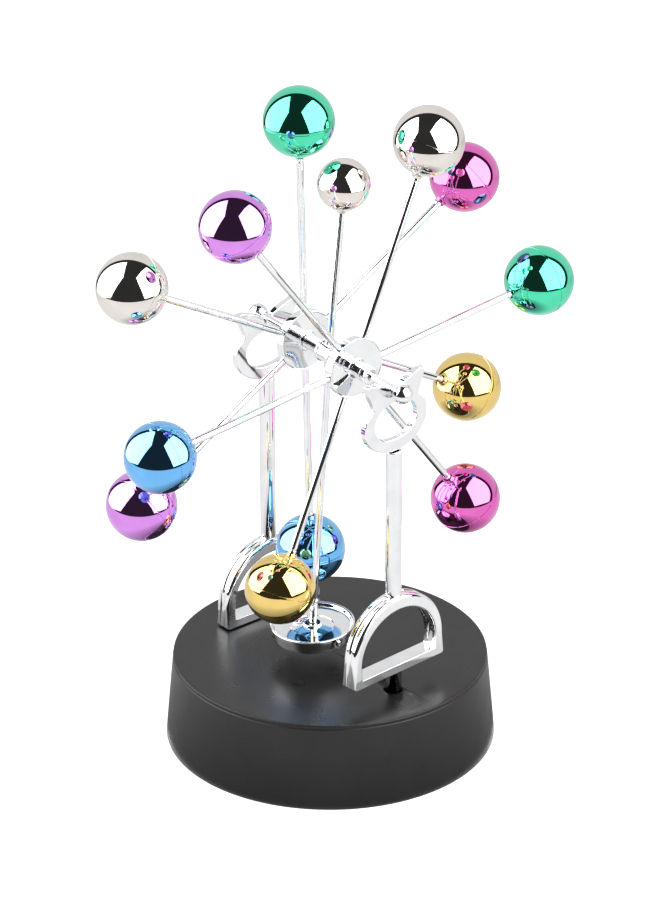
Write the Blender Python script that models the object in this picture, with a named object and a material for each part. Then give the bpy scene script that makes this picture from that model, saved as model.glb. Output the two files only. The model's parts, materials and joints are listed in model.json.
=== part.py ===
"""Desk toy with two six-ball wheels and a magnetic pendulum on one axle, over a battery-driven base.

Origin: centre of the base's underside. +Z is up, the axle lies along Y, the front is -Y.
Both wheels and the pendulum turn in planes parallel to XZ. Angles of spokes are measured from
+Z towards +X. Lengths below are in millimetres and become metres in the helpers.
"""
import math

import bmesh
import bpy
from mathutils import Matrix, Vector

MM = 0.001
GAP = 0.3                   # space left between pieces that touch on the real toy
TAU = 2 * math.pi

# Base
BASE_R = 50.0               # at the table
BASE_TOP_R = 47.6
BASE_H = 27.1
WALL = 1.8
EDGE = 0.9                  # rounding of the top edge
COVER_R = 47.5
COVER_Z = (1.0, 2.8)        # bottom cover, set back from the rim that the toy stands on

# Battery bay: three AA cells side by side, along X
CELL_R = 7.1
CELL_L = 50.0
CELL_PITCH = 14.6
CELL_Z = 10.4
BAY = (27.4, 22.3, 18.3)    # half length, half width and ceiling height of the space inside
BAY_WALL = 1.2
NUB = (2.7, 1.4)            # radius and length of a cell's positive end
CELL_EDGE = 0.5
SPRING_R = (4.4, 2.4)       # at the bay's wall and at the cell
FINGER_HOLE = (5.0, 0.8, 9.0)   # radius, depth and distance from the door's end

# Cover screws
SCREW_R = 41.5              # radius of the circle they lie on
SCREW_ANGLES = (60, 180, 300)
POST_R = 3.4
PILOT = (1.4, 14.0)         # radius and top of the hole in each post
SCREW_HEAD = (2.6, 0.6)     # radius, height
SCREW_SHANK_R = 1.1
SCREW_TIP_Z = (10.0, 11.5)  # where the point starts and ends
SCREW_HOLE_R = (3.0, 1.5)   # counterbore, shank
CROSS = (1.6, 0.25, 0.35)   # half length, half width and depth of the screw's recess

# Slide switch
SWITCH_AT = (36.0, -1.8)
SWITCH_TRAVEL = 3.6
SWITCH_HALF = (1.6, 1.7)
SWITCH_Z = (0.5, 4.0)
SWITCH_FLANGE = (3.4, 4.8, 4.4)     # half length, half width and top

# Drive
BOBBIN_R = (3.0, 5.0, 17.0)         # bore, core and flanges
BOBBIN_FLANGE = 0.8
WINDING_R = 16.4
BOARD = ((31, -13, 12), (43, 13, 13.2))

# Stands
STAND_Y = 31.2
STAND_TURN = {"front": 6.0, "rear": 2.5}    # degrees about +Z, each stand a little askew on its peg
FOOT_HALF_W = 18.3
FOOT_H = 25.5
FOOT_LEG = 7.0              # height of the straight part below the arch
FOOT_DEPTH = 5.5
BAR_H = 2.8
ARCH_T = 4.3                # thickness of the arch at its crown
LEG_T = 3.2
FRONT_FOOT_Z = 33.8         # the front foot stands proud on its peg
REAR_FOOT_Z = BASE_H + GAP
PEG_R = 2.6
PEG_END_Z = 20.0
COLUMN_R = 2.45
COLUMN_BORE_R = 1.6
SPIGOT_R = 1.2
SPIGOT_L = 6.0
HEAD_T = 2.2
HEAD_DROP = 19.4            # from the axle to the lowest point of the head
HEAD_ROUND = (12.4, 9.4)    # half width and half height of the head's lower part
LOOP_Z = -9.6               # middle of the hole in the head, from the axle
LOOP_R = (8.4, 5.9)

# Axle
AXLE_Z = 126.4
AXLE_R = 1.2
BORE_R = 1.5
END_BALL_R = 3.0
END_BALL_Y = 35.2
COLLAR = (2.6, 2.4)         # radius, length

# Wheels
WHEEL_Y = 12.0
WHEEL_R = 70.2
BALL_R = 10.6
SPOKE_R = 1.15
SPOKE_HOLE = 3.0            # depth of the hole in a ball for its rod
SPOKE_SEAT = 2.6            # length of rod inside it
TENON_R = 0.75
TENON_L = 2.8
HUB_R = 9.4
HUB_T = 2.8
BOSS_R = 2.4
BOSS_L = 4.4
COLOURS = ("silver", "green", "magenta", "gold", "blue", "purple")
FRONT_PHASE = 23.0          # angle of the front wheel's silver ball
REAR_PHASE = -61.4

# Pendulum
ROD_R = 1.1
UPPER_TILT = 6.0            # degrees, towards +X at the top
LOWER_TILT = 4.2            # degrees, towards -X at the bottom
WEIGHT_R = 7.9
WEIGHT_AT = 52.8
DISH_R = 12.85
DISH_H = 4.4
DISH_AT = 90.0              # from the axle to the dish's middle
DISH_TILT = 2.4             # degrees, +X side up
DISH_RECESS = 1.5           # depth of the dish below its rim
DISH_FLOOR = 1.0
DISH_RIM = 1.1
DISH_BOSS_R = 2.9
MAGNET_R = 8.0
SLEEVE_R = 2.2
BARREL_R = 3.4
BARREL_L = 6.4
SOCKET_L = 1.2              # how far the rods go into the barrel

PALETTE = {                 # colour, metallic, roughness
    "base_plastic": ((0.030, 0.030, 0.032), 0.0, 0.45),
    "cover_plastic": ((0.022, 0.022, 0.024), 0.0, 0.55),
    "chrome": ((0.86, 0.87, 0.88), 1.0, 0.06),
    "steel": ((0.60, 0.61, 0.62), 1.0, 0.28),
    "copper": ((0.72, 0.33, 0.14), 1.0, 0.35),
    "bobbin": ((0.80, 0.78, 0.70), 0.0, 0.50),
    "board": ((0.05, 0.25, 0.10), 0.0, 0.50),
    "cell": ((0.12, 0.13, 0.15), 0.3, 0.35),
    "silver": ((0.88, 0.84, 0.79), 1.0, 0.05),
    "green": ((0.02, 0.62, 0.33), 1.0, 0.05),
    "magenta": ((0.80, 0.04, 0.42), 1.0, 0.05),
    "gold": ((0.90, 0.62, 0.12), 1.0, 0.05),
    "blue": ((0.06, 0.33, 0.78), 1.0, 0.05),
    "purple": ((0.48, 0.12, 0.75), 1.0, 0.05),
}


def clear_scene():
    for ob in list(bpy.data.objects):
        bpy.data.objects.remove(ob, do_unlink=True)


def material(name):
    mat = bpy.data.materials.get(name)
    if mat:
        return mat
    colour, metallic, roughness = PALETTE[name]
    mat = bpy.data.materials.new(name)
    mat.use_nodes = True
    shader = mat.node_tree.nodes["Principled BSDF"]
    shader.inputs["Base Color"].default_value = (*colour, 1)
    shader.inputs["Metallic"].default_value = metallic
    shader.inputs["Roughness"].default_value = roughness
    return mat


# Shapes. Each returns a bmesh in millimetres.

def lathe(profile, segments=24):
    """A solid turned about Z. profile is (radius, height) from one end to the other: an open profile
    starts and ends on the axis, a profile that keeps off the axis is closed into a ring."""
    bm = bmesh.new()
    ends = [near[1] == pole[1] for pole, near in ((profile[0], profile[1]), (profile[-1], profile[-2]))]
    solid = profile[0][0] == 0
    if solid:               # a flat end is one face, with no corner at its middle
        profile = profile[ends[0]:len(profile) - ends[1]]
    rings = []
    for r, z in profile:
        if r == 0:
            rings.append([bm.verts.new((0, 0, z))])
        else:
            ring = [bm.verts.new((r * math.cos(TAU * i / segments), r * math.sin(TAU * i / segments), z))
                    for i in range(segments)]
            rings.append(ring)
    pairs = list(zip(rings, rings[1:]))
    if not solid:
        pairs.append((rings[-1], rings[0]))
    for flat, ring in zip(ends, (rings[0], rings[-1])):
        if solid and flat:
            bm.faces.new(ring)
    for a, b in pairs:
        for i in range(segments):
            j = (i + 1) % segments
            corners = [a[i % len(a)], a[j % len(a)], b[j % len(b)], b[i % len(b)]]
            bm.faces.new(list(dict.fromkeys(corners)))
    bmesh.ops.recalc_face_normals(bm, faces=bm.faces)
    return bm


def rod(radius, low, high, segments=12):
    return lathe([(0, low), (radius, low), (radius, high), (0, high)], segments)


def block(low, high):
    bm = bmesh.new()
    bmesh.ops.create_cube(bm, size=1)
    for v in bm.verts:
        v.co = Vector([lo + (c + 0.5) * (hi - lo) for c, lo, hi in zip(v.co, low, high)])
    return bm


def plate(outline, depth):
    """A flat plate in the XZ plane, centred on y = 0."""
    bm = bmesh.new()
    front = [bm.verts.new((x, -depth / 2, z)) for x, z in outline]
    back = [bm.verts.new((x, depth / 2, z)) for x, z in outline]
    bm.faces.new(front)
    bm.faces.new(back[::-1])
    for i in range(len(outline)):
        j = (i + 1) % len(outline)
        bm.faces.new((front[i], back[i], back[j], front[j]))
    bmesh.ops.recalc_face_normals(bm, faces=bm.faces)
    return bm


def frame_plate(outer, inner, depth):
    """A plate between two outlines that have the same number of points."""
    bm = bmesh.new()
    out_f, in_f, out_b, in_b = [[bm.verts.new((x, y, z)) for x, z in line]
                                for y in (-depth / 2, depth / 2) for line in (outer, inner)]
    for i in range(len(outer)):
        j = (i + 1) % len(outer)
        for a, b in ((out_f, in_f), (in_f, in_b), (in_b, out_b), (out_b, out_f)):
            bm.faces.new((a[i], a[j], b[j], b[i]))
    bmesh.ops.recalc_face_normals(bm, faces=bm.faces)
    return bm


def ball(radius, hole_r=0.0, hole_depth=0.0, rings=9, segments=16):
    """A ball about the origin, with a blind hole that opens towards -Z."""
    low = math.asin(hole_r / radius) if hole_r else 0
    profile = []
    for i in range(rings + 1):
        polar = i / rings * (math.pi - low)
        profile.append((radius * math.sin(polar) if i else 0, radius * math.cos(polar)))
    if hole_r:
        mouth = profile[-1][1]
        profile += [(hole_r, mouth + hole_depth), (0, mouth + hole_depth)]
    else:
        profile[-1] = (0, -radius)
    return lathe(profile, segments)


def arc(centre, radii, start, stop, steps):
    """Points on an ellipse in (x, z). Angles are in degrees from +X towards +Z."""
    points = []
    for i in range(steps + 1):
        a = math.radians(start + (stop - start) * i / steps)
        points.append((centre[0] + radii[0] * math.cos(a), centre[1] + radii[1] * math.sin(a)))
    return points


# Objects

def add(name, bm, mat, parent=None, place=Matrix(), smooth=40):
    """Turn a bmesh into an object. place holds its location in millimetres and its rotation."""
    mesh = bpy.data.meshes.new(name)
    bm.transform(Matrix.Scale(MM, 4))
    bm.to_mesh(mesh)
    bm.free()
    mesh.materials.append(material(mat))
    mesh.shade_smooth()
    mesh.set_sharp_from_angle(angle=math.radians(smooth))
    ob = bpy.data.objects.new(name, mesh)
    bpy.context.scene.collection.objects.link(ob)
    ob.matrix_local = Matrix.Translation(place.translation * MM) @ place.to_3x3().to_4x4()
    ob.parent = parent
    return ob


def shape(ob, operation, *pieces):
    """Cut shapes out of an object, or join them on, with hidden helper objects. Each piece is a
    bmesh and its place."""
    group = bpy.data.collections.new(f"{ob.name}_{operation.lower()}")
    bpy.context.scene.collection.children.link(group)
    for number, (bm, place) in enumerate(pieces):
        helper = add(f"{group.name}_{number}", bm, "chrome", ob.parent, place)
        bpy.context.scene.collection.objects.unlink(helper)
        group.objects.link(helper)
        helper.hide_render = True
        helper.display_type = 'WIRE'
    mod = ob.modifiers.new(operation.title(), 'BOOLEAN')
    mod.operation = operation
    mod.operand_type = 'COLLECTION'
    mod.collection = group
    mod.solver = 'EXACT'


def pivot(name, y):
    """An empty on the axle line, which carries the pieces that turn about it."""
    empty = bpy.data.objects.new(name, None)
    bpy.context.scene.collection.objects.link(empty)
    empty.matrix_local = Matrix.Translation((0, y * MM, AXLE_Z * MM))
    return empty


def at(x, y, z):
    return Matrix.Translation((x, y, z))


def turned_y(y=0.0, flip=False):
    """Places a shape turned about Z so that its axis lies along Y: its +Z end faces -Y, or +Y if flipped."""
    return Matrix.Translation((0, y, 0)) @ Matrix.Rotation(math.radians(-90 if flip else 90), 4, 'X')


def outward(angle, distance=0.0):
    """Places a shape with its +Z axis along a radius of the wheel."""
    return Matrix.Rotation(math.radians(angle), 4, 'Y') @ Matrix.Translation((0, 0, distance))


# Base and drive

def screw_spots():
    return [Matrix.Rotation(math.radians(angle), 4, 'Z') @ at(SCREW_R, 0, 0) for angle in SCREW_ANGLES]


def make_base():
    inner = lambda z: BASE_R - WALL - (BASE_R - BASE_TOP_R) * z / BASE_H
    outer = lambda z: BASE_R - (BASE_R - BASE_TOP_R) * z / BASE_H
    edge = [(outer(BASE_H) - EDGE + EDGE * math.cos(math.radians(a)),
             BASE_H - EDGE + EDGE * math.sin(math.radians(a))) for a in (0, 30, 60, 90)]
    roof = BASE_H - WALL
    profile = [(0, roof), (inner(roof), roof), (inner(0), 0), (outer(0), 0), *edge, (0, BASE_H)]
    shell = add("base_shell", lathe(profile, 48), "base_plastic")
    posts = [(rod(POST_R, COVER_Z[1] + GAP, roof + WALL / 2, 12), spot) for spot in screw_spots()]
    pilots = [(rod(PILOT[0], 0, PILOT[1], 8), spot) for spot in screw_spots()]
    sockets = [(rod(PEG_R + GAP, roof - 1, BASE_H + 1, 16), at(0, side * STAND_Y, 0)) for side in (-1, 1)]
    shape(shell, 'UNION', *posts)
    shape(shell, 'DIFFERENCE', *pilots, *sockets)


def make_cover():
    length, width, ceiling = BAY
    cover = add("bottom_cover", lathe([(0, COVER_Z[0]), (COVER_R, COVER_Z[0]), (COVER_R, COVER_Z[1]),
                                       (0, COVER_Z[1])], 48), "cover_plastic")
    bay = block((-length - BAY_WALL, -width - BAY_WALL, COVER_Z[0] + WALL / 2),
                (length + BAY_WALL, width + BAY_WALL, ceiling + BAY_WALL))
    shape(cover, 'UNION', (bay, Matrix()))
    space = block((-length, -width, -1), (length, width, ceiling))
    wide, narrow = SCREW_HOLE_R
    step, top = COVER_Z[0] + 1, COVER_Z[1] + 1
    screw_hole = [(0, 0), (wide, 0), (wide, step), (narrow, step), (narrow, top), (0, top)]
    screw_holes = [(lathe(screw_hole, 12), spot) for spot in screw_spots()]
    x = SWITCH_AT[0]
    half_x = SWITCH_HALF[0] + GAP
    reach = SWITCH_TRAVEL / 2 + SWITCH_HALF[1] + GAP
    slot = block((x - half_x, -reach, 0), (x + half_x, reach, top))
    shape(cover, 'DIFFERENCE', (space, Matrix()), (slot, Matrix()), *screw_holes)

    door = add("battery_door", block((-length + GAP, -width + GAP, COVER_Z[0]),
                                     (length - GAP, width - GAP, COVER_Z[1])), "cover_plastic")
    radius, depth, inset = FINGER_HOLE
    shape(door, 'DIFFERENCE', (rod(radius, COVER_Z[0] - 1, COVER_Z[0] + depth, 16), at(length - inset, 0, 0)))


def make_screws():
    low = COVER_Z[0] + 0.1
    head_r, head_h = SCREW_HEAD
    point, end = SCREW_TIP_Z
    long, wide, depth = CROSS
    for number, spot in enumerate(screw_spots(), 1):
        profile = [(0, low), (head_r, low), (head_r, low + head_h), (SCREW_SHANK_R, low + head_h),
                   (SCREW_SHANK_R, point), (0, end)]
        screw = add(f"cover_screw_{number}", lathe(profile, 12), "steel", place=spot)
        blades = [(block((-long, -wide, low - 1), (long, wide, low + depth)),
                   spot @ Matrix.Rotation(math.radians(turn), 4, 'Z')) for turn in (0, 90)]
        shape(screw, 'DIFFERENCE', *blades)


def make_cells():
    """Three cells, each the other way round from its neighbour, each with a spring at its flat end."""
    for number in (1, 2, 3):
        y = (number - 2) * CELL_PITCH
        facing = 1 if number != 2 else -1
        lie = at(0, y, CELL_Z) @ Matrix.Rotation(math.radians(90 * facing), 4, 'Y')
        nub_end = BAY[0] - 0.5
        body_end = nub_end - NUB[1]
        flat_end = nub_end - CELL_L
        face_r = CELL_R - CELL_EDGE
        profile = [(0, flat_end), (face_r, flat_end), (CELL_R, flat_end + CELL_EDGE),
                   (CELL_R, body_end - CELL_EDGE), (face_r, body_end), (NUB[0], body_end),
                   (NUB[0], nub_end), (0, nub_end)]
        add(f"battery_{number}", lathe(profile, 20), "cell", place=lie)
        make_spring(f"contact_spring_{number}", lie, -BAY[0] + 0.7, flat_end - 0.7)


def make_spring(name, lie, low, high, turns=3, wire=0.35, per_turn=10):
    """A conical spring about its own Z, as a round wire along a helix."""
    curve = bpy.data.curves.new(name, 'CURVE')
    curve.dimensions = '3D'
    curve.bevel_depth = wire * MM
    curve.bevel_resolution = 0
    curve.use_fill_caps = True
    line = curve.splines.new('POLY')
    count = turns * per_turn + 1
    line.points.add(count - 1)
    for i, point in enumerate(line.points):
        part = i / (count - 1)
        radius = SPRING_R[0] + (SPRING_R[1] - SPRING_R[0]) * part
        a = TAU * turns * part
        spot = Vector((radius * math.cos(a), radius * math.sin(a), low + (high - low) * part))
        point.co = (*(spot * MM), 1)
    curve.materials.append(material("steel"))
    ob = bpy.data.objects.new(name, curve)
    bpy.context.scene.collection.objects.link(ob)
    ob.matrix_local = Matrix.Translation(lie.translation * MM) @ lie.to_3x3().to_4x4()


def make_drive():
    roof = BASE_H - WALL - GAP
    floor = BAY[2] + BAY_WALL + GAP
    flange = BOBBIN_FLANGE
    bore, core, rim = BOBBIN_R
    bobbin = [(bore, floor), (rim, floor), (rim, floor + flange), (core, floor + flange),
              (core, roof - flange), (rim, roof - flange), (rim, roof), (bore, roof)]
    add("coil_bobbin", lathe(bobbin, 24), "bobbin")
    low, high = floor + flange + GAP, roof - flange - GAP
    inside = core + GAP
    winding = [(inside, low), (WINDING_R, low), (WINDING_R, high), (inside, high)]
    add("coil_winding", lathe(winding, 24), "copper")
    add("circuit_board", block(*BOARD), "board")

    x, y = SWITCH_AT
    half_x, half_y = SWITCH_HALF
    low, high = SWITCH_Z
    slider = add("switch_slider", block((x - half_x, y - half_y, low), (x + half_x, y + half_y, high)),
                 "cover_plastic")
    half_x, half_y, high = SWITCH_FLANGE
    flange = block((x - half_x, y - half_y, COVER_Z[1] + GAP), (x + half_x, y + half_y, high))
    shape(slider, 'UNION', (flange, Matrix()))


# Stands

def foot_outlines():
    crown = FOOT_H - FOOT_LEG
    outer = [(FOOT_HALF_W, 0), *arc((0, FOOT_LEG), (FOOT_HALF_W, crown), 0, 180, 24), (-FOOT_HALF_W, 0)]
    inner_w = FOOT_HALF_W - LEG_T
    inner = [(inner_w, BAR_H), *arc((0, FOOT_LEG), (inner_w, crown - ARCH_T), 0, 180, 24), (-inner_w, BAR_H)]
    return outer, inner


def head_outline():
    """Two ears over a saddle, a waist, and a round lower part. Measured from the axle line."""
    right = [(BORE_R, 0), (6.8, 3.3), (10.6, 4.2), (11.4, 3.6), (10.6, 0.6), (8.8, -3.4), (9.2, -4.6),
             (12.1, -7.0), (12.4, -8.4)]
    lower = arc((0, -HEAD_DROP + HEAD_ROUND[1]), HEAD_ROUND, 0, -180, 20)
    left = [(-x, z) for x, z in reversed(right)]
    saddle = arc((0, 0), (BORE_R, BORE_R), 180, 360, 8)
    return right + lower + left + saddle[1:-1]


def make_stand(side, name, foot_z):
    spot = at(0, side * STAND_Y, 0) @ Matrix.Rotation(math.radians(STAND_TURN[name]), 4, 'Z')
    outer, inner = foot_outlines()
    foot = add(f"{name}_foot", frame_plate(outer, inner, FOOT_DEPTH), "chrome", place=spot @ at(0, 0, foot_z))
    crown = foot_z + FOOT_H
    shape(foot, 'UNION', (rod(PEG_R, PEG_END_Z, foot_z + BAR_H / 2, 16), spot),
          (rod(SPIGOT_R, crown - ARCH_T / 2, crown + SPIGOT_L, 12), spot))

    head_z = AXLE_Z - HEAD_DROP
    low, high = crown + GAP, head_z - GAP
    tube = [(COLUMN_BORE_R, low), (COLUMN_R, low), (COLUMN_R, high), (COLUMN_BORE_R, high)]
    add(f"{name}_column", lathe(tube, 20), "chrome", place=spot)

    middle = spot @ at(0, 0, AXLE_Z)
    head = add(f"{name}_head", plate(head_outline(), HEAD_T), "chrome", place=middle)
    loop = arc((0, LOOP_Z), LOOP_R, 0, 345, 23)
    shape(head, 'DIFFERENCE', (plate(loop, HEAD_T * 2), middle))
    tail = rod(HEAD_T / 2 - 0.1, head_z - SPIGOT_L, head_z + 1.5, 12)
    shape(head, 'UNION', (tail, spot))


# Axle, wheels and pendulum

def make_axle(carrier):
    add("axle", rod(AXLE_R, -END_BALL_Y + 0.9, END_BALL_Y - 0.9, 16), "chrome", carrier, turned_y())
    for side, name in ((-1, "front"), (1, "rear")):
        knob = ball(END_BALL_R, BORE_R, 2.0, 8, 14)
        add(f"axle_ball_{name}", knob, "chrome", carrier, turned_y(side * END_BALL_Y, flip=side > 0))
        radius, length = COLLAR
        start = WHEEL_Y + HUB_T / 2 + BOSS_L + GAP
        ring = [(BORE_R, start), (radius, start), (radius, start + length), (BORE_R, start + length)]
        add(f"collar_{name}", lathe(ring, 20), "chrome", carrier, turned_y(flip=side > 0))


def make_wheel(side, name, phase):
    carrier = pivot(f"{name}_wheel_axis", side * WHEEL_Y)
    face = HUB_T / 2
    profile = [(BORE_R, -face), (HUB_R, -face), (HUB_R, face), (BOSS_R, face), (BOSS_R, face + BOSS_L),
               (BORE_R, face + BOSS_L)]
    hub = add(f"{name}_hub", lathe(profile, 30), "chrome", carrier, turned_y(flip=side > 0))
    angles = [phase + 60 * number for number in range(6)]
    root = HUB_R - TENON_L
    shape(hub, 'DIFFERENCE', *[(rod(TENON_R + GAP, root - GAP, HUB_R + 1, 8), outward(a)) for a in angles])
    for angle, colour in zip(angles, COLOURS):
        tip = WHEEL_R - BALL_R + SPOKE_SEAT
        spoke = [(0, root), (TENON_R, root), (TENON_R, HUB_R + GAP), (SPOKE_R, HUB_R + GAP),
                 (SPOKE_R, tip), (0, tip)]
        add(f"{name}_spoke_{colour}", lathe(spoke, 10), "chrome", carrier, outward(angle))
        add(f"{name}_ball_{colour}", ball(BALL_R, SPOKE_R + GAP, SPOKE_HOLE), colour, carrier,
            outward(angle, WHEEL_R))


def make_pendulum(carrier):
    end = WHEEL_Y - HUB_T / 2 - GAP
    half = BARREL_L / 2
    profile = [(BORE_R, -end), (SLEEVE_R, -end), (SLEEVE_R, -half), (BARREL_R, -half), (BARREL_R, half),
               (SLEEVE_R, half), (SLEEVE_R, end), (BORE_R, end)]
    hub = add("pendulum_hub", lathe(profile, 24), "chrome", carrier, turned_y())
    upper, lower = UPPER_TILT, 180 + LOWER_TILT
    root = BARREL_R - SOCKET_L
    shape(hub, 'DIFFERENCE', *[(rod(ROD_R + GAP, root - GAP, BARREL_R + 2, 10), outward(tilt))
                               for tilt in (upper, lower)])

    tip = WEIGHT_AT - WEIGHT_R + SPOKE_SEAT
    add("pendulum_upper_rod", rod(ROD_R, root, tip, 10), "chrome", carrier, outward(upper))
    add("counterweight_ball", ball(WEIGHT_R, ROD_R + GAP, SPOKE_HOLE), "silver", carrier,
        outward(upper, WEIGHT_AT))

    top = DISH_H / 2
    deck = top - DISH_RECESS
    under = deck - DISH_FLOOR
    wall = DISH_R - DISH_RIM
    socket_r, boss_top = ROD_R + 0.7, top - 0.2
    socket_z = deck - GAP
    dish = [(0, under), (wall, under), (wall, -top), (DISH_R - 0.3, -top), (DISH_R, -top + 0.3),
            (DISH_R, top - 0.3), (DISH_R - 0.3, top), (wall, top), (wall - 0.8, deck),
            (DISH_BOSS_R, deck), (DISH_BOSS_R, boss_top), (socket_r, boss_top), (socket_r, socket_z),
            (0, socket_z)]
    spot = outward(lower, DISH_AT) @ Matrix.Rotation(math.radians(-lower - DISH_TILT), 4, 'Y')
    add("pendulum_dish", lathe(dish, 32), "chrome", carrier, spot)
    add("pendulum_magnet", rod(MAGNET_R, -top + 0.2, under - GAP, 24), "steel", carrier, spot)
    add("pendulum_lower_rod", rod(ROD_R, root, DISH_AT - deck - GAP, 10), "chrome", carrier, outward(lower))


clear_scene()
make_base()
make_cover()
make_screws()
make_cells()
make_drive()
make_stand(-1, "front", FRONT_FOOT_Z)
make_stand(1, "rear", REAR_FOOT_Z)
swing = pivot("pendulum_axis", 0)
make_axle(swing)
make_pendulum(swing)
make_wheel(-1, "front", FRONT_PHASE)
make_wheel(1, "rear", REAR_PHASE)
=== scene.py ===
"""The looks of the two-wheel desk mobile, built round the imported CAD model.

Lengths are in millimetres and become metres where a mesh turns into an object. The base stands
on z = 0, the axle lies along Y with the front at -Y, and the wheels turn in XZ planes.
"""
import json
import math

import bmesh
import bpy
from mathutils import Matrix, Vector


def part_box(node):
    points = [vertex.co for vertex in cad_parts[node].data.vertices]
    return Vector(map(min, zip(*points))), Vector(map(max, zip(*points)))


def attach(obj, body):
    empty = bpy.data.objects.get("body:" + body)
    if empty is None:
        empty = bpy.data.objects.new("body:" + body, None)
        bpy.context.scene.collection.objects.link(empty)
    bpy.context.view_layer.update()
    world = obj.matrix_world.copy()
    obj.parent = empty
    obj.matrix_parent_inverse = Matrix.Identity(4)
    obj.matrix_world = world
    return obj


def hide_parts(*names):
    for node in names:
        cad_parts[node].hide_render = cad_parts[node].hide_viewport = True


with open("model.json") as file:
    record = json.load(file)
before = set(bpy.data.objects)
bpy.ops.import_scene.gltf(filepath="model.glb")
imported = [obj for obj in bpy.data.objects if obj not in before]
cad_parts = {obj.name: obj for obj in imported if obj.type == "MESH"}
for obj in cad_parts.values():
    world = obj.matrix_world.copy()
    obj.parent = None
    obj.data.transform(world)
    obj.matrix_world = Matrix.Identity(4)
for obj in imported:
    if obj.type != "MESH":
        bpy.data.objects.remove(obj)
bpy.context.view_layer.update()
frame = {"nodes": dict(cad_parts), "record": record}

MM = 0.001
TAU = 2 * math.pi
Y, Z = Vector((0, 1, 0)), Vector((0, 0, 1))


def corners(node):
    """The low and high corners of a CAD node, in millimetres."""
    return [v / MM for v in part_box(node)]


def middle(node):
    low, high = corners(node)
    return (low + high) / 2


# Sizes read from the frame
BASE_H = corners("base_shell")[1].z
BASE_R = corners("base_shell")[1].x
AXLE = Vector((0, 0, middle("axle").z))
STAND_Y = -middle("front_column").y
COLUMN_R = corners("front_column")[1].x
WHEEL_Y = -middle("front_ball_silver").y

# Sizes that part.py also names
GAP = 0.3
BASE_TOP_R = 47.6
WALL = 1.8
STAND_TURN = {"front": 6.0, "rear": 2.5}
FOOT_HALF_W = 18.3
FOOT_H = 25.5
FOOT_LEG = 7.0
FOOT_DEPTH = 5.5
BAR_H = 2.8
ARCH_T = 4.3
LEG_T = 3.2
FOOT_Z = {"front": 33.8, "rear": 27.4}
PEG_R = 2.6
PEG_END_Z = 20.0
COLUMN_BORE_R = 1.6
HEAD_T = 2.2
HEAD_DROP = 19.4
HEAD_ROUND = (12.4, 9.4)
LOOP_Z = -9.6
LOOP_R = (8.4, 5.9)
AXLE_R = 1.2
BORE_R = 1.5
END_BALL_R = 3.0
END_BALL_Y = 35.2
COLLAR = (2.6, 2.4)         # radius, length
WHEEL_R = 70.2
BALL_R = 10.6
SPOKE_R = 1.15
HUB_R = 9.4
HUB_T = 2.8
BOSS_R = 2.4
BOSS_L = 4.4
SLEEVE_R = 2.2
BARREL_R = 3.4
BARREL_L = 6.4
ROD_R = 1.1
UPPER_TILT = 6.0
LOWER_TILT = 4.2
WEIGHT_R = 7.9
WEIGHT_AT = 52.8
DISH_R = 12.85
DISH_H = 4.4
DISH_AT = 90.0
DISH_TILT = 2.4
DISH_RECESS = 1.5
DISH_FLOOR = 1.0
DISH_RIM = 1.1
DISH_BOSS_R = 2.9
COLOURS = ("silver", "green", "magenta", "gold", "blue", "purple")
PHASE = {"front": 23.0, "rear": -61.4}
SIDE = {"front": -1, "rear": 1}

# Details that part.py has no name for
DISH_DECK = DISH_H / 2 - DISH_RECESS    # the top of the dish's floor, above its middle
ROD_TUCK = 0.5              # how far a rod reaches inside a ball's surface
SEAM_DEPTH = 0.16
SEAM_EDGE = 0.018           # radians from the middle of a ball's seam to its edge
SHELL_STEP = 0.03           # the half shell with the hole has this much less radius
HOLE_EDGE = 0.5             # from the inside of a ball's neck to the edge of its hole
DISH_NUB = ((-0.55, -0.9), (0.55, -0.9), (0.55, 0.8), (-0.55, 0.8))
DISH_NUB_DEPTH = 1.2

# Camera and surroundings
AZIMUTH, ELEVATION, ROLL = -37.0, 26.4, -0.18
TARGET_Z, TARGET_RIGHT = 94.5, 0.15
CAMERA_DISTANCE, LENS = 1501.8, 202.1
DOME_R = 900.0              # the room that mirrors see
REFLECTION_Z = 120.0        # height that the reflected panels are laid out from
DARK_ROOM = (520, 0.032)    # distance, strength
SOFTBOX = (480, 4.0)


# Materials

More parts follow.
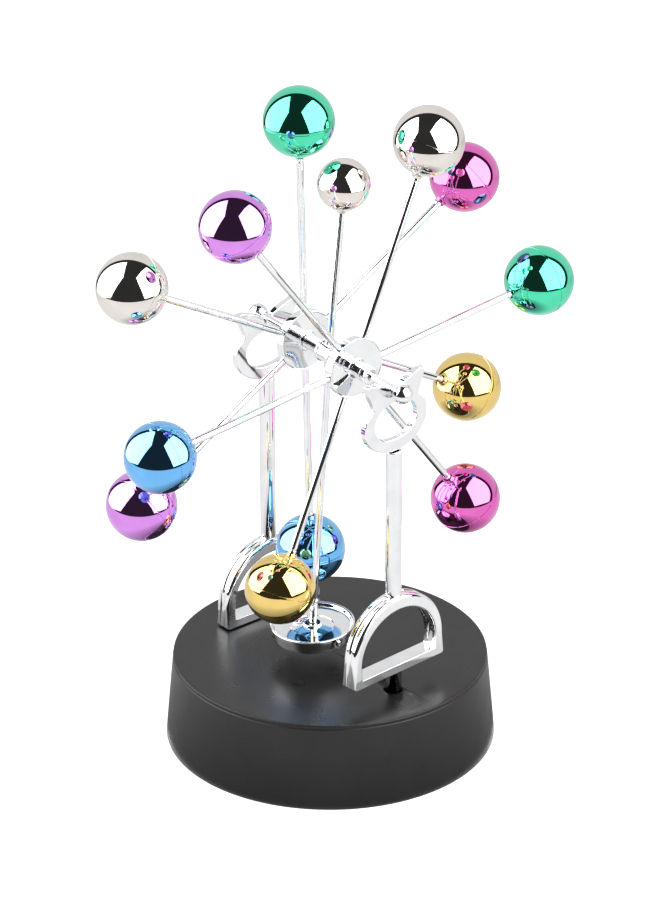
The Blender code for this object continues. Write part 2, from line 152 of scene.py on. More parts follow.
class Nodes:
    """A small helper for building one material's node tree."""

    def __init__(self, name):
        self.mat = bpy.data.materials.new(name)
        self.mat.use_nodes = True
        self.tree = self.mat.node_tree
        self.shader = self.tree.nodes["Principled BSDF"]
        self.place = self.tree.nodes.new("ShaderNodeTexCoord").outputs["Object"]

    def set(self, **values):
        for key, value in values.items():
            self.shader.inputs[key.replace("_", " ")].default_value = value

    def noise(self, scale, detail=3.0, stretch=(1, 1, 1)):
        """Noise in object space. scale is in features per millimetre."""
        mapping = self.tree.nodes.new("ShaderNodeMapping")
        mapping.inputs["Scale"].default_value = [s * scale / MM for s in stretch]
        self.tree.links.new(self.place, mapping.inputs["Vector"])
        node = self.tree.nodes.new("ShaderNodeTexNoise")
        node.inputs["Scale"].default_value = 1.0
        node.inputs["Detail"].default_value = detail
        self.tree.links.new(mapping.outputs["Vector"], node.inputs["Vector"])
        return node.outputs["Fac"]

    def ramp(self, source, *stops):
        """stops are (position, grey or colour)."""
        node = self.tree.nodes.new("ShaderNodeValToRGB")
        elements = node.color_ramp.elements
        while len(elements) < len(stops):
            elements.new(0.5)
        for element, (position, value) in zip(elements, stops):
            element.position = position
            element.color = (*value, 1) if isinstance(value, tuple) else (value, value, value, 1)
        self.tree.links.new(source, node.inputs["Fac"])
        return node.outputs["Color"]

    def mix(self, factor, a, b):
        """a where factor is 0, and b where it is 1. Each of the three is a socket or a value."""
        node = self.tree.nodes.new("ShaderNodeMix")
        node.data_type = 'RGBA'
        for socket, value in (("Factor_Float", factor), ("A_Color", a), ("B_Color", b)):
            target = next(s for s in node.inputs if s.identifier == socket)
            if isinstance(value, bpy.types.NodeSocket):
                self.tree.links.new(value, target)
            else:
                target.default_value = (*value, 1) if isinstance(value, tuple) else value
        return next(s for s in node.outputs if s.identifier == "Result_Color")

    def link(self, socket, value):
        self.tree.links.new(value, self.shader.inputs[socket])

    def bump(self, height, strength, distance):
        node = self.tree.nodes.new("ShaderNodeBump")
        node.inputs["Strength"].default_value = strength
        node.inputs["Distance"].default_value = distance * MM
        self.tree.links.new(height, node.inputs["Height"])
        self.tree.links.new(node.outputs["Normal"], self.shader.inputs["Normal"])


def shade(colour, factor):
    return tuple(min(c * factor, 1.0) for c in colour)


def plated(name, colour, roughness=0.02, coat=0.0):
    """Mirror plating: nearly even in colour, with faint smears in the gloss and a slight orange peel."""
    m = Nodes(name)
    m.set(Metallic=1.0, Coat_Weight=coat, Coat_Roughness=0.02)
    cloud = m.noise(0.16, 4)
    m.link("Base Color", m.ramp(cloud, (0.30, shade(colour, 0.93)), (0.70, shade(colour, 1.04))))
    smear = m.noise(0.35, 5, (1, 1, 0.35))
    m.link("Roughness", m.ramp(smear, (0.45, roughness), (0.75, roughness + 0.05)))
    m.bump(m.noise(0.55, 2), 0.05, 0.05)
    return m.mat


def plastic(name, colour, roughness, grain=0.06, gloss=0.5):
    """Moulded plastic with a fine spark-eroded grain, cloudy gloss and a little dust."""
    m = Nodes(name)
    m.set(Metallic=0.0, IOR=1.5, Specular_IOR_Level=gloss)
    cloud = m.ramp(m.noise(0.08, 4), (0.3, shade(colour, 0.88)), (0.7, shade(colour, 1.15)))
    dust = m.ramp(m.noise(2.6, 2), (0.72, 0.0), (0.80, 0.5))
    m.link("Base Color", m.mix(dust, cloud, shade(colour, 2.2)))
    m.link("Roughness", m.ramp(m.noise(0.12, 5), (0.3, roughness - 0.05), (0.7, roughness + 0.06)))
    m.bump(m.noise(5.0, 3), grain, 0.05)
    return m.mat


def metal(name, colour, roughness, stretch=(1, 1, 1)):
    """Plain or wire-drawn metal."""
    m = Nodes(name)
    m.set(Metallic=1.0)
    grain = m.noise(1.2, 4, stretch)
    m.link("Base Color", m.ramp(grain, (0.3, shade(colour, 0.8)), (0.7, shade(colour, 1.1))))
    m.link("Roughness", m.ramp(grain, (0.3, roughness - 0.06), (0.7, roughness + 0.08)))
    m.bump(grain, 0.2, 0.05)
    return m.mat


PLATING = {
    "silver": (0.81, 0.76, 0.71),
    "green": (0.085, 0.75, 0.46),
    "magenta": (0.80, 0.15, 0.55),
    "gold": (0.88, 0.64, 0.20),
    "blue": (0.17, 0.50, 0.93),
    "purple": (0.73, 0.29, 0.86),
}
MATERIALS = {f"ball_{name}": plated(f"plated_{name}", colour, coat=0.3) for name, colour in PLATING.items()}
MATERIALS.update({
    "chrome": plated("bright_chrome", (0.86, 0.865, 0.875), 0.035),
    "base_plastic": plastic("black_moulding", (0.010, 0.010, 0.0103), 0.30, gloss=0.38),
    "cover_plastic": plastic("black_cover", (0.026, 0.026, 0.027), 0.55, 0.12),
    "steel": metal("plain_steel", (0.60, 0.61, 0.62), 0.28),
    "copper": metal("copper_wire", (0.75, 0.34, 0.14), 0.30, (0.2, 0.2, 4)),
    "bobbin": plastic("pale_moulding", (0.70, 0.68, 0.60), 0.45),
    "board": plastic("green_board", (0.03, 0.20, 0.07), 0.40),
    "cell": plastic("grey_sleeve", (0.13, 0.14, 0.16), 0.30, 0.02),
})


# Shapes, as bmeshes in millimetres

def rounded(points, steps=4):
    """A polyline with its corners rounded. Each point is (radius, height) or (radius, height, fillet)."""
    result = []
    for i, point in enumerate(points):
        here = Vector(point[:2])
        fillet = point[2] if len(point) > 2 else 0
        if not fillet or i in (0, len(points) - 1):
            result.append(tuple(here))
            continue
        before, after = Vector(points[i - 1][:2]), Vector(points[i + 1][:2])
        back, on = (before - here).normalized(), (after - here).normalized()
        cut = min(fillet, (before - here).length / 2, (after - here).length / 2)
        start, stop = here + back * cut, here + on * cut
        for k in range(steps + 1):
            t = k / steps
            result.append(tuple(start * (1 - t) ** 2 + here * 2 * t * (1 - t) + stop * t ** 2))
    return result


def lathe(profile, segments=64):
    """A solid turned about Z from (radius, height) points; off the axis it closes into a ring."""
    bm = bmesh.new()
    rings = []
    for r, z in profile:
        count = 1 if r == 0 else segments
        rings.append([bm.verts.new((r * math.cos(TAU * i / segments), r * math.sin(TAU * i / segments), z))
                      for i in range(count)])
    pairs = list(zip(rings, rings[1:]))
    if profile[0][0] > 0:
        pairs.append((rings[-1], rings[0]))
    for a, b in pairs:
        for i in range(segments):
            j = (i + 1) % segments
            loop = [a[i % len(a)], a[j % len(a)], b[j % len(b)], b[i % len(b)]]
            bm.faces.new(list(dict.fromkeys(loop)))
    bmesh.ops.recalc_face_normals(bm, faces=bm.faces)
    return bm


def arc(centre, radii, start, stop, steps):
    """Points on an ellipse in (x, z). Angles are in degrees from +X towards +Z."""
    points = []
    for i in range(steps + 1):
        a = math.radians(start + (stop - start) * i / steps)
        points.append((centre[0] + radii[0] * math.cos(a), centre[1] + radii[1] * math.sin(a)))
    return points


def swept_frame(outer, inner, section):
    """A bar that runs round between two outlines with the same number of points. section gives the
    outline of a cut across the bar, as (distance in from the outer outline, y)."""
    bm = bmesh.new()
    rings = []
    for a, b in zip(outer, inner):
        start, across = Vector(a), Vector(b) - Vector(a)
        ring = []
        for inward, y in section(start, across.length):
            spot = start + across.normalized() * inward
            ring.append(bm.verts.new((spot.x, y, spot.y)))
        rings.append(ring)
    for a, b in zip(rings, rings[1:] + rings[:1]):
        for k in range(len(a)):
            j = (k + 1) % len(a)
            bm.faces.new((a[k], a[j], b[j], b[k]))
    bmesh.ops.recalc_face_normals(bm, faces=bm.faces)
    return bm


def plate(outline, depth):
    """A flat solid with an outline in (x, z), half of its depth on each side of y = 0."""
    bm = bmesh.new()
    front, back = ([bm.verts.new((x, y, z)) for x, z in outline] for y in (-depth / 2, depth / 2))
    bm.faces.new(front)
    bm.faces.new(back[::-1])
    for i in range(len(outline)):
        j = (i + 1) % len(outline)
        bm.faces.new((front[i], back[i], back[j], front[j]))
    bmesh.ops.recalc_face_normals(bm, faces=bm.faces)
    return bm


# Objects

def add(name, bm, mat, place=Matrix(), sharp=32):
    """Makes an object from a shape in millimetres. Edges of more than sharp degrees stay crisp."""
    mesh = bpy.data.meshes.new(name)
    bm.transform(place)
    bm.transform(Matrix.Scale(MM, 4))
    bm.to_mesh(mesh)
    bm.free()
    mesh.materials.append(mat)
    mesh.shade_smooth()
    mesh.set_sharp_from_angle(angle=math.radians(sharp))
    ob = bpy.data.objects.new(name, mesh)
    bpy.context.scene.collection.objects.link(ob)
    return ob


def piece(name, bm, slot, body, nodes=(), place=Matrix(), sharp=32):
    """A visible piece of the object: its finish, the body it rides on and the CAD nodes it stands for."""
    ob = add(name, bm, MATERIALS[slot], place, sharp)
    if nodes:
        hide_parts(*nodes)
    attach(ob, body)
    return ob


def bevel(ob, width, segments=3, angle=40):
    """Rounds the edges of a piece that are sharper than angle."""
    mod = ob.modifiers.new("Bevel", 'BEVEL')
    mod.width = width * MM
    mod.segments = segments
    mod.limit_method = 'ANGLE'
    mod.angle_limit = math.radians(angle)
    mod.use_clamp_overlap = True
    mod.harden_normals = True


def boolean(ob, operation, *tools):
    """Applies cuts or joins at once, so that no helper is left in the scene."""
    helpers = [add("helper", bm, MATERIALS["chrome"], place) for bm, place in tools]
    for helper in helpers:
        mod = ob.modifiers.new(operation, 'BOOLEAN')
        mod.operation = operation
        mod.object = helper
        mod.solver = 'EXACT'
    bpy.context.view_layer.update()
    graph = bpy.context.evaluated_depsgraph_get()
    mesh = bpy.data.meshes.new_from_object(ob.evaluated_get(graph))
    ob.modifiers.clear()
    ob.data = mesh
    for helper in helpers:
        bpy.data.objects.remove(helper)


def at(x, y, z):
    return Matrix.Translation((x, y, z))


def along_y(y=0.0, flip=False):
    """Places a shape turned about Z on the axle line: its +Z end faces -Y, or +Y if flipped."""
    return Matrix.Translation(AXLE + Y * y) @ Matrix.Rotation(math.radians(-90 if flip else 90), 4, 'X')


def outward(angle, y=0.0, distance=0.0):
    """Places a shape with its +Z along a radius of a wheel."""
    turn = Matrix.Rotation(math.radians(angle), 4, 'Y')
    return Matrix.Translation(AXLE + Y * y) @ turn @ at(0, 0, distance)


# Wheels

def ball_mesh(radius, neck_r, seam=True, steps=40, segments=96, neck=True):
    """Two half shells with a hole towards -Z for the rod. seam adds a parting line between them, and
    neck adds a short tube at the hole."""
    half = math.pi / 2
    hole = math.asin((neck_r + HOLE_EDGE) / radius)
    profile = [(0, radius)]
    for i in range(1, steps + 1):
        polar = i / steps * (half - SEAM_EDGE)
        profile.append((radius * math.sin(polar), radius * math.cos(polar)))
    if seam:
        edge = radius * 0.6 * SEAM_EDGE
        profile += [(radius - 0.01, edge), (radius - SEAM_DEPTH, 0.05), (radius - SEAM_DEPTH, -0.05),
                    (radius - 0.04, -edge)]
    lower_r = radius - SHELL_STEP
    for i in range(steps + 1):
        polar = half + SEAM_EDGE + i / steps * (half - SEAM_EDGE - hole)
        profile.append((lower_r * math.sin(polar), lower_r * math.cos(polar)))
    end = profile[-1][1]
    if neck:
        profile += [(neck_r + 0.22, end - 0.35), (neck_r + 0.15, end - 0.9), (neck_r, end - 1.0)]
    else:
        profile += [(neck_r, end)]
    profile += [(neck_r, end + 1.5), (0, end + 1.5)]
    return lathe(profile, segments)


def make_wheel(name):
    side, body = SIDE[name], f"{name}_wheel"
    y = side * WHEEL_Y
    for number, colour in enumerate(COLOURS):
        angle = PHASE[name] + 60 * number
        piece(f"{name}_ball_{colour}_shell", ball_mesh(BALL_R, SPOKE_R + 0.25), f"ball_{colour}", body,
              [f"{name}_ball_{colour}"], outward(angle, y, WHEEL_R), sharp=50)
        make_spoke(f"{name}_spoke_{colour}", body, outward(angle, y))
    face = HUB_T / 2
    boss_end = face + BOSS_L
    profile = rounded([
        (BORE_R, -face), (BOSS_R + 0.5, -face, 0.1), (BOSS_R + 0.7, -face + 0.15, 0.1),
        (HUB_R - 0.5, -face + 0.15, 0.1), (HUB_R - 0.3, -face, 0.1), (HUB_R, -face, 0.25),
        (HUB_R, face, 0.25), (HUB_R - 0.3, face, 0.1), (HUB_R - 0.5, face - 0.12, 0.1),
        (BOSS_R + 0.6, face - 0.12, 0.3), (BOSS_R, face + 0.5, 0.3), (BOSS_R, boss_end - 1.2, 0.1),
        (BOSS_R + 0.25, boss_end - 1.0, 0.1), (BOSS_R + 0.25, boss_end, 0.2), (BORE_R, boss_end)])
    piece(f"{name}_hub_disc", lathe(profile, 96), "chrome", body, [f"{name}_hub"],
          along_y(y, flip=side > 0))


def make_spoke(node, body, place):
    """A plain rod, with a shallow groove near the ball."""
    tip = WHEEL_R - BALL_R + ROD_TUCK
    start = HUB_R + 0.05
    profile = rounded([(0, start), (SPOKE_R, start, 0.1), (SPOKE_R, tip - 2.6, 0.2),
                       (SPOKE_R - 0.12, tip - 2.3, 0.1), (SPOKE_R, tip - 2.0, 0.2), (SPOKE_R, tip), (0, tip)])
    piece(f"{node}_rod", lathe(profile, 40), "chrome", body, [node], place)


# Axle and pendulum

def make_axle():
    """The shaft, and on each end a round knob and a collar with a hole for its grub screw."""
    half = END_BALL_Y - 1
    shaft = rounded([(0, -half), (AXLE_R, -half), (AXLE_R, half), (0, half)])
    piece("axle_shaft", lathe(shaft, 40), "chrome", "pendulum", ["axle"], along_y())
    radius, length = COLLAR
    bore = BORE_R - 0.2
    start = WHEEL_Y + HUB_T / 2 + BOSS_L + GAP
    stop = start + length
    collar = rounded([(bore, start), (radius, start, 0.3), (radius, stop, 0.3), (bore, stop)])
    screw_hole = [(0, 1.9), (0.55, 1.9), (0.55, 4), (0, 4)]
    for name, side in SIDE.items():
        flip = side > 0
        knob = ball_mesh(END_BALL_R, AXLE_R + 0.1, seam=False, steps=24, segments=64, neck=False)
        piece(f"axle_knob_{name}", knob, "chrome", "pendulum", [f"axle_ball_{name}"],
              along_y(side * END_BALL_Y, flip))
        ring = piece(f"collar_{name}_ring", lathe(collar, 64), "chrome", "pendulum", [f"collar_{name}"],
                     along_y(0, flip))
        boolean(ring, 'DIFFERENCE', (lathe(screw_hole, 20),
                                     Matrix.Translation(AXLE + Y * side * (start + length / 2))))


def make_pendulum_hub():
    """A barrel with a shallow waist, between two sleeves that reach out to the wheels."""
    end = WHEEL_Y - HUB_T / 2 - GAP
    half = BARREL_L / 2
    bore, waist = BORE_R - 0.2, BARREL_R - 0.25
    profile = rounded([
        (bore, -end), (SLEEVE_R, -end, 0.2), (SLEEVE_R, -half - 0.4, 0.2), (BARREL_R, -half, 0.3),
        (BARREL_R, -half + 1.2, 0.1), (waist, -half + 1.5, 0.1), (waist, half - 1.5, 0.1),
        (BARREL_R, half - 1.2, 0.1), (BARREL_R, half, 0.3), (SLEEVE_R, half + 0.4, 0.2),
        (SLEEVE_R, end, 0.2), (bore, end)])
    piece("pendulum_hub_barrel", lathe(profile, 64), "chrome", "pendulum", ["pendulum_hub"], along_y())


def pendulum_rod(tip, fillet=0):
    """A rod with a thicker root next to the hub."""
    root = ROD_R + 0.35
    return lathe(rounded([(0, 2.6), (root, 2.6), (root, 4.4, 0.2), (ROD_R, 4.8, 0.2),
                          (ROD_R, tip, fillet), (0, tip)]), 40)


def make_dish(angle):
    """A shallow dish at the end of the lower rod, turned back so that it hangs almost level, with a
    small nub on the front of its rim."""
    top, deck = DISH_H / 2, DISH_DECK
    under = deck - DISH_FLOOR
    wall, bore = DISH_R - DISH_RIM, ROD_R + 0.25
    bowl = [(0, under), (wall, under, 0.3), (wall, -top), (DISH_R - 0.5, -top, 0.3),
            (DISH_R - 0.25, -top + 0.8, 0.3), (DISH_R, top - 1.0, 0.3), (DISH_R, top - 0.15, 0.25),
            (DISH_R - 0.5, top, 0.2), (DISH_R - 0.9, top - 0.3, 0.2), (DISH_R - 1.3, deck + 0.1, 0.3),
            (DISH_R - 1.9, deck), (6.6, deck), (6.4, deck - 0.15), (6.1, deck - 0.15), (3.4, deck + 0.35),
            (DISH_BOSS_R, deck + 0.45), (2.6, top - 0.2, 0.25), (bore, top - 0.2, 0.1),
            (bore, deck - 0.25), (0, deck - 0.25)]
    spot = outward(angle, 0, DISH_AT) @ Matrix.Rotation(math.radians(-angle - DISH_TILT), 4, 'Y')
    piece("pendulum_dish_bowl", lathe(rounded(bowl), 96), "chrome", "pendulum", ["pendulum_dish"], spot)
    nub = piece("pendulum_dish_nub", plate(DISH_NUB, DISH_NUB_DEPTH), "chrome", "pendulum", (),
                spot @ at(0, -DISH_R, 0.2))
    bevel(nub, 0.2)


def make_pendulum():
    make_pendulum_hub()
    upper, lower = UPPER_TILT, 180 + LOWER_TILT
    piece("pendulum_upper_rod_bar", pendulum_rod(WEIGHT_AT - WEIGHT_R + ROD_TUCK), "chrome", "pendulum",
          ["pendulum_upper_rod"], outward(upper))
    weight = ball_mesh(WEIGHT_R, ROD_R + 0.2, seam=False, steps=32, segments=80)
    piece("counterweight_shell", weight, "ball_silver", "pendulum",
          ["counterweight_ball"], outward(upper, 0, WEIGHT_AT), sharp=50)
    make_dish(lower)
    piece("pendulum_lower_rod_bar", pendulum_rod(DISH_AT - DISH_DECK - 0.2, 0.1), "chrome", "pendulum",
          ["pendulum_lower_rod"], outward(lower))


# Stands

def foot_outlines(steps=96, corner=0.8, bend=4):
    """The outer and inner outlines of a foot: an arch over two straight legs and a bar."""
    crown = FOOT_H - FOOT_LEG
    inner_w = FOOT_HALF_W - LEG_T
    lines = []
    for half, low, top, r in ((FOOT_HALF_W, 0, crown, corner), (inner_w, BAR_H, crown - ARCH_T, corner / 2)):
        right = arc((half - r, low + r), (r, r), -90, 0, bend)
        left = [(-x, z) for x, z in reversed(right)]
        lines.append(right + arc((0, FOOT_LEG), (half, top), 0, 180, steps) + left)
    return lines


def foot_section(start, thickness):
    """Rounded edges, with a hollow channel along the outside of the arch and a flat one along the inside.
    The channels fade out above the bottom bar, and the edges get sharper down to it."""
    half = FOOT_DEPTH / 2
    above_bar = min(max((start.y - 1.0) / 3.0, 0), 1)
    edge, lip = 0.35 + 0.95 * above_bar, 0.2 + 0.3 * above_bar
    fade = min(max((start.y - 5.5) / 1.5, 0), 1)
    out_w, out_d = 0.95, 0.6 * fade
    in_w, in_d = 1.2, 0.7 * fade
    bend = [math.radians(90 * k / 5) for k in range(6)]
    hold = 0.12             # a point beside each rounded edge, which keeps the flat beyond it flat
    front = [(edge + hold, -half),
             *[(edge - edge * math.sin(a), -half + edge - edge * math.cos(a)) for a in bend],
             (0, -half + edge + hold)]
    inside = [(thickness - lip - hold, half),
              *[(thickness - lip + lip * math.sin(a), half - lip + lip * math.cos(a)) for a in bend],
              (thickness, half - lip - hold)]
    hollow = [math.radians(180 * k / 10) for k in range(11)]
    channel = [(out_d * math.sin(a), -out_w * math.cos(a)) for a in hollow]
    gutter = [(thickness, in_w), (thickness - in_d, in_w - 0.12), (thickness - in_d, -in_w + 0.12),
              (thickness, -in_w)]
    mirrored = [[(inward, -y) for inward, y in reversed(line)] for line in (front, inside)]
    return front + channel + mirrored[0] + inside + gutter + mirrored[1]


def make_stand(name):
    """A foot with its boss and peg, the column above it and the head on top."""
    z = FOOT_Z[name]
    upright = at(0, SIDE[name] * STAND_Y, 0) @ Matrix.Rotation(math.radians(STAND_TURN[name]), 4, 'Z')
    place = upright @ at(0, 0, z)
    foot = piece(f"{name}_foot_frame", swept_frame(*foot_outlines(), foot_section), "chrome", "stand",
                 [f"{name}_foot"], place)
    boss_r = COLUMN_R + 0.1
    boss = lathe(rounded([(0, FOOT_H - 4.0), (boss_r, FOOT_H - 4.0), (boss_r, FOOT_H - 0.1, 0.4),
                          (COLUMN_R - 0.2, FOOT_H + 0.25, 0.2), (0, FOOT_H + 0.25)]), 64)
    peg = lathe(rounded([(0, PEG_END_Z - z), (PEG_R, PEG_END_Z - z), (PEG_R, 1.0), (0, 1.0)]), 48)
    boolean(foot, 'UNION', (boss, place), (peg, place))

    low, high = z + FOOT_H + GAP, AXLE.z - HEAD_DROP - GAP
    bore = COLUMN_BORE_R
    tube = rounded([(bore, low), (COLUMN_R, low, 0.25), (COLUMN_R, high, 0.25), (bore, high)])
    piece(f"{name}_column_tube", lathe(tube, 64), "chrome", "stand", [f"{name}_column"], upright)
    make_head(name, upright @ Matrix.Translation(AXLE))


def head_outline(steps=64):
    """Two ears over a saddle, a waist, and a round lower part, measured from the axle line."""
    ear = [(BORE_R, 0), (BORE_R + 0.2, 1.0, 0.3), (4.0, 2.4, 1.0), (6.8, 3.4, 1.6), (9.4, 4.3, 0.9),
           (11.5, 4.1, 0.5), (10.9, 1.2, 1.2)]
    waist = [(8.7, -3.6, 1.0), (11.9, -6.6, 0.5), (HEAD_ROUND[0], -8.6)]
    right = rounded(ear + waist, 6)
    lower = arc((0, -HEAD_DROP + HEAD_ROUND[1]), HEAD_ROUND, 0, -180, steps)
    left = [(-x, z) for x, z in reversed(right)]
    saddle = arc((0, 0), (BORE_R, BORE_R), 180, 360, 16)
    return right + lower + left + saddle[1:-1]


def squared(value, power):
    """A sine or cosine pushed outwards, which turns an ellipse a little towards a rectangle."""
    return math.copysign(abs(value) ** power, value)


def make_head(name, place):
    head = piece(f"{name}_head_plate", plate(head_outline(), HEAD_T), "chrome", "stand",
                 [f"{name}_head"], place)
    turns = [TAU * k / 72 for k in range(72)]
    loop = [(LOOP_R[0] * squared(math.cos(a), 0.9), LOOP_Z + LOOP_R[1] * squared(math.sin(a), 0.95))
            for a in turns]
    boolean(head, 'DIFFERENCE', (plate(loop, HEAD_T * 2), place))
    bevel(head, 0.3)


# Base

def make_base():
    """A cup with a tapered wall, open below, with a groove round its top edge and two peg holes."""
    def outer(z):
        return BASE_R - (BASE_R - BASE_TOP_R) * z / BASE_H

    def inner(z):
        return outer(z) - WALL

    roof = BASE_H - WALL
    top, shoulder = BASE_TOP_R, BASE_H - 1.0
    profile = rounded([(0, roof), (inner(roof), roof, 0.6), (inner(0), 0), (outer(0), 0, 0.25),
                       (outer(shoulder - 0.35), shoulder - 0.35, 0.1), (top - 0.16, shoulder - 0.2, 0.1),
                       (top - 0.12, shoulder, 0.1), (top, BASE_H, 0.8), (top - 1.4, BASE_H), (0, BASE_H)], 5)
    shell = piece("base_housing", lathe(profile, 192), "base_plastic", "stand", ["base_shell"])
    hole_r = PEG_R + GAP
    hole = [(0, roof - 1), (hole_r, roof - 1), (hole_r, BASE_H + 1), (0, BASE_H + 1)]
    holes = [(lathe(hole, 32), at(0, side * STAND_Y, 0)) for side in SIDE.values()]
    boolean(shell, 'DIFFERENCE', *holes)


# Studio

def camera_axes():
    """Right, up and back, before the roll."""
    a, e = math.radians(AZIMUTH), math.radians(ELEVATION)
    back = Vector((math.sin(a) * math.cos(e), -math.cos(a) * math.cos(e), math.sin(e)))
    right = Vector((math.cos(a), math.sin(a), 0))
    return right, back.cross(right), back


def make_camera():
    right, up, back = camera_axes()
    target = Z * TARGET_Z + right * TARGET_RIGHT
    data = bpy.data.cameras.new("camera")
    data.lens = LENS
    data.clip_start = 0.05
    camera = bpy.data.objects.new("camera", data)
    bpy.context.scene.collection.objects.link(camera)
    turn = Matrix((right, up, back)).transposed().to_4x4() @ Matrix.Rotation(math.radians(ROLL), 4, 'Z')
    camera.matrix_world = Matrix.Translation((target + back * CAMERA_DISTANCE) * MM) @ turn
    bpy.context.scene.camera = camera


def seen_in_ball(x, y):
    """The direction that a mirror ball shows at (x, y) of its disc, where the rim is at radius 1."""
    right, up, back = camera_axes()
    normal = right * x + up * y + back * math.sqrt(max(0, 1 - x * x - y * y))
    return 2 * normal.dot(back) * normal - back


def only_in_mirrors(ob):
    """Leaves a stage piece to glossy rays, so that it shows only as a reflection."""
    for ray in ("camera", "diffuse", "transmission", "volume_scatter", "shadow"):
        setattr(ob, f"visible_{ray}", False)


def glowing(name, strength):
    """A plain emission. strength is a number, or a function that wires a grey from the node tree."""
    mat = bpy.data.materials.new(name)
    mat.use_nodes = True
    tree = mat.node_tree
    tree.nodes.clear()
    glow = tree.nodes.new("ShaderNodeEmission")
    if callable(strength):
        tree.links.new(strength(tree), glow.inputs["Color"])
    else:
        glow.inputs["Strength"].default_value = strength
    tree.links.new(glow.outputs[0], tree.nodes.new("ShaderNodeOutputMaterial").inputs["Surface"])
    return mat


def reflected_panel(name, outline, distance, strength):
    """A panel that only mirrors see, given by its outline on a mirror ball's disc."""
    bm = bmesh.new()
    bm.faces.new([bm.verts.new((x, y, 0)) for x, y in outline])
    bmesh.ops.triangulate(bm, faces=bm.faces)
    for _ in range(4):
        bmesh.ops.subdivide_edges(bm, edges=[e for e in bm.edges if e.calc_length() > 0.06], cuts=1)
        bmesh.ops.triangulate(bm, faces=bm.faces)
    for v in bm.verts:
        v.co = seen_in_ball(v.co.x, v.co.y) * distance + Z * REFLECTION_Z
    only_in_mirrors(add(name, bm, glowing(name, strength)))


def ramped(tree, value, stops):
    """A colour ramp on value, with stops of (position, grey)."""
    ramp = tree.nodes.new("ShaderNodeValToRGB")
    while len(ramp.color_ramp.elements) < len(stops):
        ramp.color_ramp.elements.new(0.5)
    for element, (position, grey) in zip(ramp.color_ramp.elements, stops):
        element.position = position
        element.color = (grey, grey, grey, 1)
    tree.links.new(value, ramp.inputs["Fac"])
    return ramp.outputs["Color"]


def fading(axis, stops, radial=None):
    """A grey that changes along a direction, from one side of the room to the other. radial adds a
    second set of stops that goes with the distance from the middle."""
    def wire(tree):
        def vector_math(operation, vector, other=None):
            node = tree.nodes.new("ShaderNodeVectorMath")
            node.operation = operation
            tree.links.new(vector, node.inputs[0])
            if isinstance(other, bpy.types.NodeSocket):
                tree.links.new(other, node.inputs[1])
            elif other is not None:
                node.inputs[1].default_value = other
            return node.outputs["Value" if operation in ('DOT_PRODUCT', 'LENGTH') else "Vector"]

        def number(operation, value, other):
            node = tree.nodes.new("ShaderNodeMath")
            node.operation = operation
            tree.links.new(value, node.inputs[0])
            node.inputs[1].default_value = other
            return node.outputs[0]

        place = tree.nodes.new("ShaderNodeTexCoord").outputs["Object"]
        along = vector_math('DOT_PRODUCT', place, axis / (2 * DOME_R * MM))
        grey = ramped(tree, number('ADD', along, 0.5), stops)
        if radial:
            out = number('MULTIPLY', vector_math('LENGTH', place), 1 / (DOME_R * MM))
            grey = vector_math('MULTIPLY', grey, ramped(tree, out, radial))
        return grey
    return wire


def make_surroundings():
    """What mirrors see beyond the panels: a room that darkens away from the camera, and a table that is less
    bright than the lit background, with a painted shadow of the base that darkens the table next to the base."""
    away = -camera_axes()[2]
    away.z = 0
    away.normalize()
    # Blender's own sphere lists its faces in a new order each run, which changes the noise in mirrors
    polar = [math.pi * k / 32 for k in range(1, 32)]
    half = [(0, DOME_R), *[(DOME_R * math.sin(a), DOME_R * math.cos(a)) for a in polar], (0, -DOME_R)]
    dome = glowing("room", fading(away, ((0.0, 0.90), (0.45, 0.90), (0.80, 0.88), (1.0, 0.80))))
    only_in_mirrors(add("room", lathe(half), dome))
    ring = lathe([(BASE_R + 1, 0.1), (DOME_R * 0.98, 0.1), (DOME_R * 0.98, 0.2), (BASE_R + 1, 0.2)], 96)
    across = ((0.0, 0.90), (0.42, 1.05), (0.56, 0.92), (0.72, 0.70))
    # painted shadow: the mirrored table goes darker close to the base, where the base would shade it
    painted_base_shadow = ((0.055, 0.30), (0.075, 0.52), (0.13, 1.0))
    table = glowing("table_seen_in_mirrors", fading(away, across, painted_base_shadow))
    only_in_mirrors(add("table_seen_in_mirrors", ring, table))


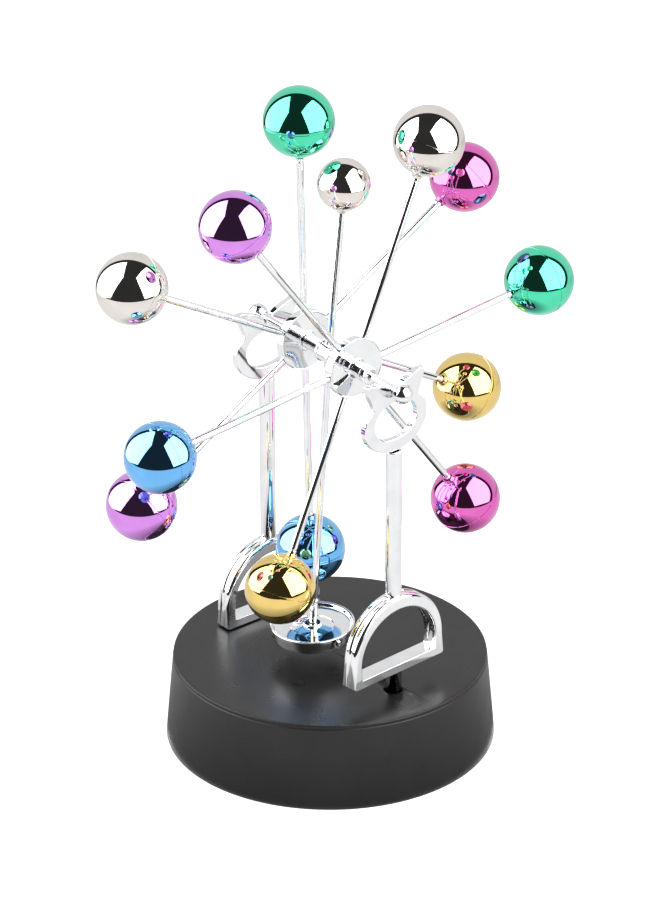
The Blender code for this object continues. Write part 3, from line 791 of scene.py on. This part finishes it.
def make_floor():
    """A wide pale table that glows a little, so that it stays even all round the toy."""
    bm = bmesh.new()
    bmesh.ops.create_circle(bm, cap_ends=True, segments=96, radius=6000)
    m = Nodes("white_table")
    m.link("Base Color", m.ramp(m.noise(0.002, 3), (0.3, (0.93, 0.93, 0.93)), (0.7, (0.95, 0.95, 0.95))))
    m.set(Roughness=0.7, Emission_Color=(1, 1, 1, 1), Emission_Strength=0.5)
    add("floor", bm, m.mat)


def make_overhead_light():
    """A soft light above, to the left and in front, that mirrors don't show."""
    data = bpy.data.lights.new("overhead", 'AREA')
    data.size = 0.9
    data.energy = 5.0
    light = bpy.data.objects.new("overhead", data)
    bpy.context.scene.collection.objects.link(light)
    light.location = (-0.15, -0.25, 1.1)
    light.rotation_euler = (light.location - Vector((0, 0, 0.1))).to_track_quat('Z', 'Y').to_euler()
    light.visible_glossy = False


def make_panels():
    """The dark opening that every ball mirrors, and a softbox to each side in it."""
    centre, radii = (-0.08, 0.05), (0.87, 0.67)
    opening = arc(centre, radii, -12, 192, 40) + [(-0.80, -0.50), (-0.40, -0.66), (0.30, -0.66), (0.68, -0.5)]
    reflected_panel("dark_room", opening, *DARK_ROOM)
    rim = (radii[0] * 0.93, radii[1] * 0.89)
    left = arc(centre, rim, 98, 196, 16) + [(-0.56, -0.19), (-0.40, 0.06), (-0.25, 0.27)]
    right = arc(centre, rim, -20, 62, 16) + [(0.19, 0.46), (0.06, 0.27), (0.22, -0.07), (0.30, -0.27)]
    reflected_panel("softbox_left", left, *SOFTBOX)
    reflected_panel("softbox_right", right, *SOFTBOX)


def make_studio():
    world = bpy.data.worlds.new("studio")
    bpy.context.scene.world = world
    world.use_nodes = True
    world.node_tree.nodes["Background"].inputs["Color"].default_value = (1, 1, 1, 1)
    world.node_tree.nodes["Background"].inputs["Strength"].default_value = 1.0
    make_floor()
    make_overhead_light()
    make_panels()
    make_surroundings()
    bpy.context.scene.view_settings.view_transform = 'Standard'


def dress_cad():
    """Procedural finishes on the CAD nodes that stay visible, such as the bottom cover and the drive."""
    slots = {part["node"]: part["material_slot"] for part in frame["record"]["subparts"]}
    for name, ob in frame["nodes"].items():
        ob.data.materials.clear()
        ob.data.materials.append(MATERIALS[slots[name]])


make_camera()
dress_cad()
make_base()
for stand in SIDE:
    make_stand(stand)
make_axle()
make_pendulum()
for wheel in SIDE:
    make_wheel(wheel)
make_studio()
